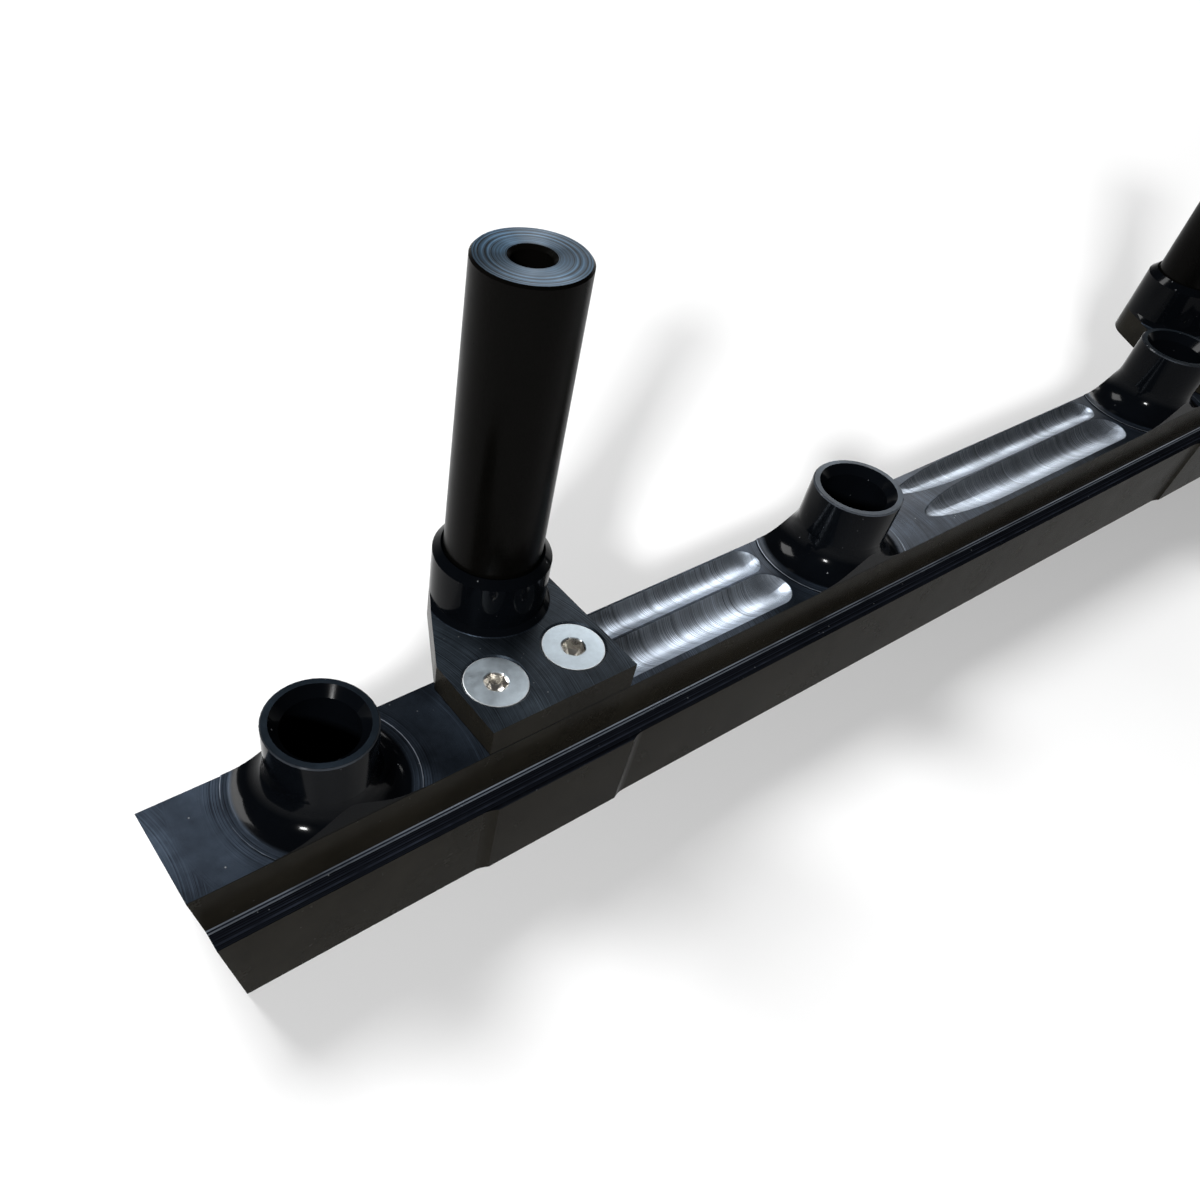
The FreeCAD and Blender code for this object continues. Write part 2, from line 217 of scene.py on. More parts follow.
def buildToolMarks():
    # fine parallel marks along one coordinate, uneven in strength, as a cutter leaves them
    tree, given, made = newGroup("toolMarks", {
        "Along": "Float", "Vector": "Vector", "Spacing": "Float", "Unevenness": "Float",
    }, "Marks")
    turns = mathNode(tree, "DIVIDE", given.outputs["Along"], given.outputs["Spacing"])
    scratches = addNode(tree, "ShaderNodeTexNoise", noise_dimensions="1D")
    setInputs(scratches, **effects["scratches"])
    tree.links.new(turns, scratches.inputs["W"])
    patches = addNode(tree, "ShaderNodeTexNoise")
    setInputs(patches, **effects["patches"])
    tree.links.new(given.outputs["Vector"], patches.inputs["Vector"])
    centred = mathNode(tree, "SUBTRACT", patches.outputs["Fac"], 0.5)
    uneven = multiply(tree, centred, given.outputs["Unevenness"])
    strength = line(tree, uneven, effects["patchStrength"], 1.0)
    marks = multiply(tree, mathNode(tree, "SUBTRACT", scratches.outputs["Fac"], 0.5), strength)
    tree.links.new(marks, made.inputs["Marks"])
    return tree


def buildDust():
    # sparse bright specks of dust and tiny nicks
    tree, given, made = newGroup("dust", {
        "Vector": "Vector", "Scale": "Float", "Amount": "Float",
    }, "Specks")
    cells = addNode(tree, "ShaderNodeTexVoronoi", feature="F1")
    tree.links.new(given.outputs["Vector"], cells.inputs["Vector"])
    tree.links.new(given.outputs["Scale"], cells.inputs["Scale"])
    near = stepUp(tree, cells.outputs["Distance"], *effects["speckEdge"])
    pick = addNode(tree, "ShaderNodeSeparateColor")
    tree.links.new(cells.outputs["Color"], pick.inputs["Color"])
    chosen = mathNode(tree, "LESS_THAN", pick.outputs["Red"], given.outputs["Amount"])
    tree.links.new(multiply(tree, near, chosen), made.inputs["Specks"])
    return tree


def buildHaze():
    # slow changes of tone and polish over a surface, from handling and from the anodising bath
    tree, given, made = newGroup("haze", {
        "Vector": "Vector", "Scale": "Float", "Low": "Float", "High": "Float",
    }, "Value")
    cloud = addNode(tree, "ShaderNodeTexNoise")
    setInputs(cloud, **effects["clouds"])
    tree.links.new(given.outputs["Vector"], cloud.inputs["Vector"])
    tree.links.new(given.outputs["Scale"], cloud.inputs["Scale"])
    spread = addNode(tree, "ShaderNodeMapRange")
    tree.links.new(cloud.outputs["Fac"], spread.inputs["Value"])
    setInputs(spread, **effects["cloudRange"])
    tree.links.new(given.outputs["Low"], spread.inputs["To Min"])
    tree.links.new(given.outputs["High"], spread.inputs["To Max"])
    tree.links.new(spread.outputs["Result"], made.inputs["Value"])
    return tree


toolMarks = buildToolMarks()
dust = buildDust()
haze = buildHaze()


def newMaterial(name, **shader):
    material = bpy.data.materials.new(name)
    material.use_nodes = True
    tree = material.node_tree
    principled = tree.nodes["Principled BSDF"]
    setInputs(principled, **shader)
    place = addNode(tree, "ShaderNodeTexCoord")
    return material, tree, principled, place


def addRelief(tree, principled, height, strength, depth):
    bump = addNode(tree, "ShaderNodeBump")
    setInputs(bump, Strength=strength, Distance=depth)
    tree.links.new(height, bump.inputs["Height"])
    tree.links.new(bump.outputs["Normal"], principled.inputs["Normal"])


# black anodised rail and feet: glossy cups and collars, milled tops, bright flutes, grooved ledges

railFinish = {
    "shader": {"IOR": 1.45, "Specular_IOR_Level": 0.033, "Coat_IOR": 1.5, "Coat_Roughness": 0.05},
    # partly painted reflection: the fronts' warm brown tint stands for a warm floor reflected in them, over
    # their near-black colour
    "frontColourAndWarmReflection": (0.0098, 0.0088, 0.0066),
    "ledgeColour": (0.0066, 0.0080, 0.0115),
    "topColour": (0.0138, 0.0186, 0.0262),
    "plateColour": (0.0165, 0.0215, 0.0275),
    "fluteColour": (0.30, 0.34, 0.395),
    "farFlutePaintedShade": 0.74,      # painted shade: flutes past the second cup are darkened, as they look darker under the light there
    "glossColour": (0.0013, 0.0017, 0.0024),
    "rimColour": (0.0085, 0.0125, 0.0175),
    # colour of the painted highlight lines along small edges
    "edgeHighlightColour": (0.30, 0.34, 0.40),
    "seamColour": (0.001, 0.001, 0.001),
    "dustColour": (0.20, 0.21, 0.22),
    "topMetal": 0.65,
    "fluteMetal": 0.95,
    "edgeHighlightMetal": 0.8,
    "frontRoughness": 0.25,
    "topRoughness": 0.36,
    "fluteRoughness": 0.40,
    "glossRoughness": 0.14,
    "coat": 0.05,               # clear gloss on cups and collars
    "rimHighlightShare": 0.25,            # share of the painted highlight on the cups' rims, where other edges have 1
    "dustShare": (0.5, 0.1),    # more on what faces up, and what the rest has
}

# edges of each kind of surface, in millimetres from the level or radius that the name gives:
# two for a step, and a third for how soft the rims of a band are
railZones = {
    "topBlockLevel": (27.0, 28.0),
    "ringToCup": (-0.2, -0.4),
    "topToCup": (0.22, 0.34),
    "plateToCollar": (0.1, 0.2),
    "cupTopToRim": (-0.03, 0.05, 0.02),
    "plateFace": (-0.2, 0.0, 0.1),
    "topToFlute": (-0.02, -0.2),
    "ringEdgeWidth": (-0.16, 0.0, 0.06),
    "ringEdgeLevel": (0.1, 0.4, 0.05),
    "ledgeInnerEdge": (0.10, 0.22, 0.05),
    "ledgeOuterEdge": (0.55, 0.75, 0.08),
    "ledgeEdgeLevel": (0.0, 0.7, 0.1),
    "rimEdgeWidth": (-0.22, 0.05, 0.04),
    "rimEdgeLevel": (-0.34, -0.26),
    "seamLevel": (-0.18, 0.18, 0.05),
    "nearCup": (27.0, 20.0),
    "flutesPart": 1.7,          # y between the front flute and the rear one
    "facingUp": (0.25, 0.45),   # share of the normal that points up
    "facingLevel": (0.9, 0.97),
}

railMarks = {
    "arcs": {"Spacing": 0.00025, "Unevenness": 0.9},
    "streaks": {"Spacing": 0.0017, "Unevenness": 0.6},
    "grooves": {"Spacing": 0.0007, "Unevenness": 0.9},
    "lines": {"Spacing": 0.00016, "Unevenness": 0.5},
    "tone": {"Scale": 55.0, "Low": 0.72, "High": 1.3},
    "clouds": {"Scale": 75.0, "Low": 0.6, "High": 1.9},
    "edgeHighlightPatches": {"Scale": 22.0, "Low": -0.1, "High": 1.1},
    "polish": {"Scale": 120.0, "Low": 0.85, "High": 1.15},
    "specks": {"Scale": 1100.0, "Amount": 0.03},
    "fluteBow": -42.0,          # how much the marks bend across a flute, and across the top
    "topBow": 14.0,
    "arcTone": 3.2,
    "streakToneAndHighlight": (-0.9, 1.5),  # partly painted highlight, as fan-shaped bands of reflected light: what a foot's plate has less, and what the rest has
    "grooveTone": 7.0,
    "grooveDarkest": 0.2,
    "arcRelief": (1.8, 0.4),    # more in the flutes, and what the tops have
    "ledgeRelief": 0.8,
    "frontRelief": 0.12,
    "speckRelief": 0.3,
    "bump": (0.35, 0.00004),
}


def findRailZones(tree, spot, facing, radius):
    z = spot[2]
    aside = mathNode(tree, "ABSOLUTE", spot[1])
    top, ring = rail["topLevel"], rail["ringRadius"]
    found = {}
    above = zone(tree, z, railZones["topBlockLevel"])
    upward = stepUp(tree, facing[2], *railZones["facingUp"])
    found["upward"] = upward
    found["top"] = multiply(tree, above, upward)
    found["ledge"] = multiply(tree, upward, opposite(tree, above))

    cup = multiply(tree, zone(tree, radius, railZones["ringToCup"], ring),
                   zone(tree, z, railZones["topToCup"], top))
    collar = zone(tree, z, railZones["plateToCollar"], rail["plateLevel"])
    rim = multiply(tree, zone(tree, z, railZones["cupTopToRim"], rail["cupTop"]),
                   stepUp(tree, facing[2], *railZones["facingLevel"]))
    found["rim"] = rim
    found["gloss"] = multiply(tree, highest(tree, cup, collar), opposite(tree, rim))
    found["plate"] = multiply(tree, zone(tree, z, railZones["plateFace"], rail["plateLevel"]), upward,
                              opposite(tree, cup))
    found["flute"] = multiply(tree, found["top"], zone(tree, z, railZones["topToFlute"], top),
                              opposite(tree, cup))

    # painted highlights: thin bright metallic lines along the ring step round each cup, the ledge's corner
    # and the cups' rims, standing for the light their small bevels catch
    ringEdge = multiply(tree, zone(tree, radius, railZones["ringEdgeWidth"], ring),
                        zone(tree, z, railZones["ringEdgeLevel"], top))
    ledgeSides = [zone(tree, aside, railZones[side], rail["topHalfWidth"])
                  for side in ("ledgeOuterEdge", "ledgeInnerEdge")]
    ledgeEdge = multiply(tree, highest(tree, *ledgeSides),
                         zone(tree, z, railZones["ledgeEdgeLevel"], rail["ledgeLevel"]))
    rimEdge = multiply(tree, zone(tree, radius, railZones["rimEdgeWidth"], rail["cupRadius"]),
                       zone(tree, z, railZones["rimEdgeLevel"], rail["cupTop"]), railFinish["rimHighlightShare"])
    found["edges"] = highest(tree, ledgeEdge, ringEdge, rimEdge)
    found["seam"] = multiply(tree, zone(tree, z, railZones["seamLevel"], top), opposite(tree, upward))
    return found


def addRailMarks(tree, here, spot, radius, zones):
    # arcs across flutes and tops, rings round the cups, long lines on fronts and ledges
    x, y, z = spot
    front, rear = rail["frontFlute"] * mm, rail["rearFlute"] * mm
    behind = mathNode(tree, "GREATER_THAN", y, railZones["flutesPart"] * mm)
    off = mathNode(tree, "SUBTRACT", y, line(tree, behind, rear - front, front))
    fluteBow = multiply(tree, off, off, railMarks["fluteBow"])
    topBow = multiply(tree, y, y, railMarks["topBow"])
    across = mixNumbers(tree, zones["flute"], mathNode(tree, "ADD", x, topBow),
                        mathNode(tree, "ADD", x, fluteBow))
    nearCup = zone(tree, radius, railZones["nearCup"])
    way = mixNumbers(tree, nearCup, across, multiply(tree, radius, -1.0))
    ways = {"arcs": way, "streaks": way, "grooves": y, "lines": mathNode(tree, "ADD", z, y)}
    marks = {name: useGroup(tree, toolMarks, Along=along, Vector=here, **railMarks[name])
             for name, along in ways.items()}
    for name in ("tone", "clouds", "edgeHighlightPatches", "polish"):
        marks[name] = useGroup(tree, haze, Vector=here, **railMarks[name])
    marks["specks"] = useGroup(tree, dust, Vector=here, **railMarks["specks"])
    return marks


def paintRail(tree, x, zones, marks, edges):
    finish = railFinish
    # the front colour carries a painted warm reflection of the floor, besides the fronts' near-black colour
    colour = mixColours(tree, zones["top"], finish["frontColourAndWarmReflection"], finish["topColour"])
    colour = mixColours(tree, zones["ledge"], colour, finish["ledgeColour"])
    grooves = line(tree, multiply(tree, marks["grooves"], zones["ledge"]), railMarks["grooveTone"], 1.0)
    colour = shadeColour(tree, colour, mathNode(tree, "MAXIMUM", grooves, railMarks["grooveDarkest"]))
    colour = mixColours(tree, zones["plate"], colour, finish["plateColour"])
    # painted shade: the flutes' colour is made darker past the second cup, where they look darker under the
    # light
    pastSecondCup = mathNode(tree, "GREATER_THAN", x, -rail["cupPitch"] * mm / 2)
    flutePaintedShade = line(tree, pastSecondCup, finish["farFlutePaintedShade"] - 1.0, 1.0)
    colour = mixColours(tree, zones["flute"], colour, shadeColour(tree, finish["fluteColour"], flutePaintedShade))

    arcTone = line(tree, marks["arcs"], railMarks["arcTone"], 1.0)
    # the broad streaks lighten and darken the milled colour in bands: partly cutter marks, partly painted
    # fan-shaped highlights
    streakToneAndHighlight = line(tree, marks["streaks"], line(tree, zones["plate"], *railMarks["streakToneAndHighlight"]), 1.0)
    milled = shadeColour(tree, colour, multiply(tree, arcTone, streakToneAndHighlight))
    colour = mixColours(tree, zones["top"], colour, milled)
    colour = mixColours(tree, zones["gloss"], colour, finish["glossColour"])
    colour = mixColours(tree, zones["rim"], colour, finish["rimColour"])
    colour = shadeColour(tree, colour, marks["tone"])
    clouded = multiply(tree, zones["top"], opposite(tree, zones["flute"]), opposite(tree, zones["gloss"]))
    colour = mixColours(tree, clouded, colour, shadeColour(tree, colour, marks["clouds"]))

    # painted highlight: the bright edge lines, broken up in patches
    colour = mixColours(tree, edges, colour, finish["edgeHighlightColour"])
    colour = mixColours(tree, zones["seam"], colour, finish["seamColour"])
    dusty = multiply(tree, marks["specks"], line(tree, zones["upward"], *finish["dustShare"]))
    return mixColours(tree, dusty, colour, finish["dustColour"])


def buildRailMaterial():
    material, tree, principled, place = newMaterial("blackAnodised", **railFinish["shader"])
    here = place.outputs["Object"]
    spot = splitVector(tree, here)
    facing = splitVector(tree, place.outputs["Normal"])
    x, y = spot[0], spot[1]
    pitch = rail["cupPitch"] * mm
    fromCup = mathNode(tree, "SUBTRACT", mathNode(tree, "FLOORED_MODULO", x, pitch), pitch / 2)
    radius = distance(tree, fromCup, y)
    zones = findRailZones(tree, spot, facing, radius)
    marks = addRailMarks(tree, here, spot, radius, zones)
    top, flute, gloss = zones["top"], zones["flute"], zones["gloss"]
    notGloss = opposite(tree, gloss)

    # the painted edge highlights are broken up in patches by a haze
    edges = multiply(tree, zones["edges"], mathNode(tree, "MULTIPLY", marks["edgeHighlightPatches"], 1.0, clamp=True))
    tree.links.new(paintRail(tree, x, zones, marks, edges), principled.inputs["Base Color"])
    metal = highest(tree, multiply(tree, edges, railFinish["edgeHighlightMetal"]),
                    multiply(tree, top, notGloss, railFinish["topMetal"]),
                    multiply(tree, flute, railFinish["fluteMetal"]))
    tree.links.new(metal, principled.inputs["Metallic"])
    tree.links.new(multiply(tree, gloss, railFinish["coat"]), principled.inputs["Coat Weight"])

    rough = mixNumbers(tree, top, railFinish["frontRoughness"], railFinish["topRoughness"])
    rough = mixNumbers(tree, flute, rough, railFinish["fluteRoughness"])
    rough = mixNumbers(tree, gloss, rough, railFinish["glossRoughness"])
    tree.links.new(multiply(tree, rough, marks["polish"]), principled.inputs["Roughness"])

    arcRelief = multiply(tree, marks["arcs"], line(tree, flute, *railMarks["arcRelief"]), top)
    onFronts = multiply(tree, opposite(tree, top), railMarks["frontRelief"])
    lineShare = line(tree, zones["ledge"], railMarks["ledgeRelief"], onFronts)
    relief = mathNode(tree, "ADD", arcRelief, multiply(tree, marks["lines"], lineShare))
    specks = multiply(tree, marks["specks"], railMarks["speckRelief"])
    relief = mathNode(tree, "ADD", multiply(tree, relief, notGloss), specks)
    addRelief(tree, principled, relief, *railMarks["bump"])
    return material


# turned posts: satin, with ring marks on the end face

postFinish = {
    "shader": {"IOR": 1.45, "Anisotropic": 0.8, "Specular_IOR_Level": 0.033},
    "colour": (0.0014, 0.0013, 0.0011),
    "endColour": (0.0280, 0.0560, 0.0880),
    "endMetal": 0.8,
    "endFacing": (0.8, 0.95),   # share of the normal that points up on the end face
    "endRoughness": 1.1,        # how much rougher the end face is
    "rings": {"Spacing": 0.00022, "Unevenness": 0.4},
    "endRingDensity": 0.45,     # ring marks on the end face are fewer than round the side
    "endRingTone": 5.0,
    "endRingRelief": 5.0,
    "tone": {"Scale": 60.0, "Low": 0.8, "High": 1.2},
    "polish": {"Scale": 90.0, "Low": 0.17, "High": 0.28},
    "bump": (0.25, 0.00002),
}


def buildPostMaterial():
    finish = postFinish
    material, tree, principled, place = newMaterial("blackSatin", **finish["shader"])
    here = place.outputs["Object"]
    x, y, z = splitVector(tree, here)
    facing = splitVector(tree, place.outputs["Normal"])
    end = stepUp(tree, facing[2], *finish["endFacing"])
    second = mathNode(tree, "GREATER_THAN", x, 0.0)
    axis = line(tree, second, rail["footSpacing"] * mm, rail["firstPost"] * mm)
    radius = distance(tree, mathNode(tree, "SUBTRACT", x, axis),
                      mathNode(tree, "SUBTRACT", y, rail["postRow"] * mm))
    way = mixNumbers(tree, end, z, multiply(tree, radius, finish["endRingDensity"]))
    rings = useGroup(tree, toolMarks, Along=way, Vector=here, **finish["rings"])

    colour = mixColours(tree, end, finish["colour"], finish["endColour"])
    colour = shadeColour(tree, colour, useGroup(tree, haze, Vector=here, **finish["tone"]))
    turned = shadeColour(tree, colour, line(tree, rings, finish["endRingTone"], 1.0))
    tree.links.new(mixColours(tree, end, colour, turned), principled.inputs["Base Color"])
    tree.links.new(multiply(tree, end, finish["endMetal"]), principled.inputs["Metallic"])
    polish = useGroup(tree, haze, Vector=here, **finish["polish"])
    rough = multiply(tree, polish, line(tree, end, finish["endRoughness"], 1.0))
    tree.links.new(rough, principled.inputs["Roughness"])
    around = addNode(tree, "ShaderNodeTangent", direction_type="RADIAL", axis="Z")
    tree.links.new(around.outputs["Tangent"], principled.inputs["Tangent"])
    relief = multiply(tree, rings, line(tree, end, finish["endRingRelief"], 1.0))
    addRelief(tree, principled, relief, *finish["bump"])
    return material


# stainless screws: pale, faintly mottled heads with bright sockets

screwFinish = {
    "colour": (0.55, 0.63, 0.69),
    "socketColour": (0.78, 0.76, 0.72),
    # painted highlight: the head's rim is lighter, standing for the light its small bevel catches
    "rimColour": (0.80, 0.84, 0.86),
    "socketLevel": (37.0, 36.9),    # where the socket's finish starts and is full, in millimetres
    "socketRadius": (3.2, 2.9),
    "rimRadius": (5.95, 6.05),
    "mottle": {"Scale": 900.0, "Low": 0.93, "High": 1.05},
    "broad": {"Scale": 180.0, "Low": 0.90, "High": 1.08},
    "polish": {"Scale": 500.0, "Low": 0.38, "High": 0.48},
    "nicks": {"Scale": 1600.0, "Amount": 0.035},
    "rings": {"Spacing": 0.00016, "Unevenness": 0.6},
    "socketShine": -0.35,       # change of roughness in the socket
    "nickRelief": 0.15,
    "ringRelief": 0.35,
    "bump": (0.3, 0.00003),
}


def buildScrewMaterial():
    finish = screwFinish
    material, tree, principled, place = newMaterial("paleStainless", Metallic=1.0)
    here = place.outputs["Object"]
    x, y, z = splitVector(tree, here)
    spacing = rail["footSpacing"] * mm
    shifted = mathNode(tree, "ADD", x, spacing / 2 - rail["firstFoot"] * mm)
    fromFoot = mathNode(tree, "SUBTRACT", mathNode(tree, "FLOORED_MODULO", shifted, spacing), spacing / 2)
    halfPitch = rail["screwPitch"] * mm / 2
    fromScrew = mathNode(tree, "SUBTRACT", mathNode(tree, "ABSOLUTE", fromFoot), halfPitch)
    radius = distance(tree, fromScrew, y)
    socket = multiply(tree, zone(tree, z, finish["socketLevel"]), zone(tree, radius, finish["socketRadius"]))
    rim = zone(tree, radius, finish["rimRadius"])
    mottle = useGroup(tree, haze, Vector=here, **finish["mottle"])
    broad = useGroup(tree, haze, Vector=here, **finish["broad"])
    polish = useGroup(tree, haze, Vector=here, **finish["polish"])
    nicks = useGroup(tree, dust, Vector=here, **finish["nicks"])
    rings = useGroup(tree, toolMarks, Along=radius, Vector=here, **finish["rings"])

    colour = mixColours(tree, socket, finish["colour"], finish["socketColour"])
    # painted highlight on the head's rim
    colour = mixColours(tree, rim, colour, finish["rimColour"])
    colour = shadeColour(tree, shadeColour(tree, colour, mottle), broad)
    tree.links.new(colour, principled.inputs["Base Color"])
    rough = multiply(tree, polish, line(tree, socket, finish["socketShine"], 1.0))
    tree.links.new(rough, principled.inputs["Roughness"])
    relief = mathNode(tree, "SUBTRACT", mottle, multiply(tree, nicks, finish["nickRelief"]))
    relief = mathNode(tree, "ADD", relief, multiply(tree, rings, finish["ringRelief"]))
    addRelief(tree, principled, multiply(tree, relief, opposite(tree, socket)), *finish["bump"])
    return material


railMaterial = buildRailMaterial()
postMaterial = buildPostMaterial()
screwMaterial = buildScrewMaterial()


def dress(node, material):
    for slot in bpy.data.objects[node].material_slots:
        slot.material = material


dress("rail_body", railMaterial)
for index in (1, 2):
    dress("mount_foot_%d" % index, railMaterial)
    dress("standoff_post_%d" % index, postMaterial)
print("finishes ready")


# geometry node helpers

def addModifier(piece, tree, **values):
    # each input is set by its socket's identifier before the piece is first evaluated
    modifier = piece.modifiers.new(tree.name, "NODES")
    modifier.node_group = tree
    for item in tree.interface.items_tree:
        if item.item_type == "SOCKET" and item.in_out == "INPUT" and item.name in values:
            modifier[item.identifier] = values[item.name]


def bake(piece):
    # the evaluated result becomes the piece's own plain mesh
    depsgraph = bpy.context.evaluated_depsgraph_get()
    result = bpy.data.meshes.new_from_object(piece.evaluated_get(depsgraph))
    piece.modifiers.clear()
    piece.data = result


def newShapeTree(name, inputs):
    tree = bpy.data.node_groups.new(name, "GeometryNodeTree")
    addSockets(tree, {"Geometry": "Geometry", **inputs})
    tree.interface.new_socket("Geometry", in_out="OUTPUT", socket_type="NodeSocketGeometry")
    return tree, addNode(tree, "NodeGroupInput"), addNode(tree, "NodeGroupOutput")


def vectorOf(tree, **axes):
    node = addNode(tree, "ShaderNodeCombineXYZ")
    for axis, value in axes.items():
        tree.links.new(value, node.inputs[axis.upper()])
    return node.outputs[0]


def joinShapes(tree, *shapes):
    node = addNode(tree, "GeometryNodeJoinGeometry")
    for shape in shapes:
        tree.links.new(shape, node.inputs[0])
    return node.outputs[0]


def paintAndFinish(tree, shape, given, made):
    real = addNode(tree, "GeometryNodeRealizeInstances")
    tree.links.new(shape, real.inputs[0])
    painted = addNode(tree, "GeometryNodeSetMaterial")
    tree.links.new(real.outputs[0], painted.inputs["Geometry"])
    tree.links.new(given.outputs["Material"], painted.inputs["Material"])
    tree.links.new(painted.outputs[0], made.inputs["Geometry"])


def addPiece(name, mesh):
    piece = bpy.data.objects.new(name, mesh)
    bpy.context.scene.collection.objects.link(piece)
    return piece


def shadeByAngle(mesh, degrees):
    shape = bmesh.new()
    shape.from_mesh(mesh)
    bmesh.ops.recalc_face_normals(shape, faces=shape.faces)
    for face in shape.faces:
        face.smooth = True
    for edge in shape.edges:
        edge.smooth = edge.calc_face_angle(0) < math.radians(degrees)
    shape.to_mesh(mesh)
    shape.free()


# foot screws: one detailed screw, set at its four places by a node tree

screw = {
    "headRadius": 6.2,
    "headEdge": 0.15,
    "headBreak": (0.12, 0.08),  # bevel round the head's face: inwards and down
    "headSink": 0.25,           # how far the head lies below the plate
    "length": 14.0,
    "threadRadius": 3.0,
    "threadDepth": 0.5,
    "threadPitch": 1.0,
    "stepsPerTurn": 8,
    "neckStep": 0.02,
    "socketFlats": 4.0,
    "socketMouth": 2.5,
    "socketLead": 0.26,
    "socketDepth": 2.6,
    "socketPoint": 0.45,        # depth of the drilled point over the corners' radius
    "segments": 96,
    "sharpAngle": 15,
    "turnSeed": 5,
}


def addLoop(shape, outline, level):
    count = screw["segments"]
    turns = [2 * math.pi * i / count for i in range(count)]
    return [shape.verts.new((outline(turn) * math.cos(turn), outline(turn) * math.sin(turn), level))
            for turn in turns]


def buildScrewMesh():
    s = screw
    cornerRadius = s["socketFlats"] / math.sqrt(3)
    breakIn, breakDown = s["headBreak"]

    def hexagon(turn):
        return s["socketFlats"] / 2 / math.cos((turn % (math.pi / 3)) - math.pi / 6)

    def circle(radius):
        return lambda turn: radius

    def threadAt(level, fade):
        def radiusAt(turn):
            phase = (turn / (2 * math.pi) - level / s["threadPitch"]) % 1.0
            return s["threadRadius"] - s["threadDepth"] * abs(2 * phase - 1) * fade
        return radiusAt

    coneEnd = -s["headEdge"] - (s["headRadius"] - s["threadRadius"])
    shape = bmesh.new()
    loops = [addLoop(shape, outline, level) for outline, level in (
        (hexagon, -s["socketDepth"]),
        (hexagon, -s["socketLead"]),
        (circle(s["socketMouth"]), 0.0),
        (circle(s["headRadius"] - breakIn), 0.0),
        (circle(s["headRadius"]), -breakDown),
        (circle(s["headRadius"]), -s["headEdge"]),
        (circle(s["threadRadius"] + s["neckStep"]), coneEnd),
    )]
    threadLength = s["length"] + coneEnd
    steps = int(threadLength / s["threadPitch"] * s["stepsPerTurn"])
    for step in range(steps + 1):
        level = coneEnd - threadLength * step / steps
        loops.append(addLoop(shape, threadAt(level, min(1.0, step / s["stepsPerTurn"])), level))

    floor = shape.verts.new((0, 0, -s["socketDepth"] - cornerRadius * s["socketPoint"]))
    tail = shape.verts.new((0, 0, -s["length"]))
    sides = [(i, (i + 1) % s["segments"]) for i in range(s["segments"])]
    for first, second in zip(loops, loops[1:]):
        for i, after in sides:
            shape.faces.new((first[i], second[i], second[after], first[after]))
    for i, after in sides:
        shape.faces.new((floor, loops[0][i], loops[0][after]))
        shape.faces.new((tail, loops[-1][after], loops[-1][i]))
    bmesh.ops.scale(shape, vec=(mm, mm, mm), verts=shape.verts)
    mesh = bpy.data.meshes.new("screwShape")
    shape.to_mesh(mesh)
    shape.free()
    shadeByAngle(mesh, s["sharpAngle"])
    return mesh


def buildScrewTree():
    tree, given, made = newShapeTree("screwPlaces", {
        "First Foot": "Float", "Foot Spacing": "Float", "Screw Pitch": "Float", "Level": "Float",
        "Turn Seed": "Int", "Material": "Material",
    })
    link = tree.links.new
    half = mathNode(tree, "MULTIPLY", given.outputs["Screw Pitch"], 0.5)
    firstScrew = mathNode(tree, "SUBTRACT", given.outputs["First Foot"], half)
    pair = addNode(tree, "GeometryNodeMeshLine", mode="OFFSET")
    pair.inputs["Count"].default_value = 2
    link(vectorOf(tree, x=firstScrew, z=given.outputs["Level"]), pair.inputs["Start Location"])
    link(vectorOf(tree, x=given.outputs["Screw Pitch"]), pair.inputs["Offset"])
    second = addNode(tree, "GeometryNodeTransform")
    link(pair.outputs[0], second.inputs["Geometry"])
    link(vectorOf(tree, x=given.outputs["Foot Spacing"]), second.inputs["Translation"])
    turn = addNode(tree, "FunctionNodeRandomValue", data_type="FLOAT_VECTOR")
    turn.inputs[0].default_value = (0, 0, 0)
    turn.inputs[1].default_value = (0, 0, 2 * math.pi)
    link(given.outputs["Turn Seed"], turn.inputs["Seed"])
    place = addNode(tree, "GeometryNodeInstanceOnPoints")
    link(joinShapes(tree, second.outputs[0], pair.outputs[0]), place.inputs["Points"])
    link(given.outputs["Geometry"], place.inputs["Instance"])
    link(turn.outputs[0], place.inputs["Rotation"])
    paintAndFinish(tree, place.outputs[0], given, made)
    return tree


footScrews = addPiece("footScrews", buildScrewMesh())
addModifier(footScrews, buildScrewTree(), **{
    "First Foot": rail["firstFoot"] * mm, "Foot Spacing": rail["footSpacing"] * mm,
    "Screw Pitch": rail["screwPitch"] * mm, "Level": (rail["plateLevel"] - screw["headSink"]) * mm,
    "Turn Seed": screw["turnSeed"], "Material": screwMaterial,
})
bake(footScrews)
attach(footScrews, "root")
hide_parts("foot_screw_1", "foot_screw_2", "foot_screw_3", "foot_screw_4")
print("screws ready")


# port threads: a ridge swept along a spiral in each end port

port = {
    "boreRadius": 8.75,
    "ridgeHeight": 0.55,
    "ridgeSides": 4,
    "threadPitch": 1.5875,
    "turns": 7,
    "stepsPerTurn": 64,
    "firstTurn": 217.6,         # distance of the outermost turn from the rail's middle
    "level": 13.2,
}


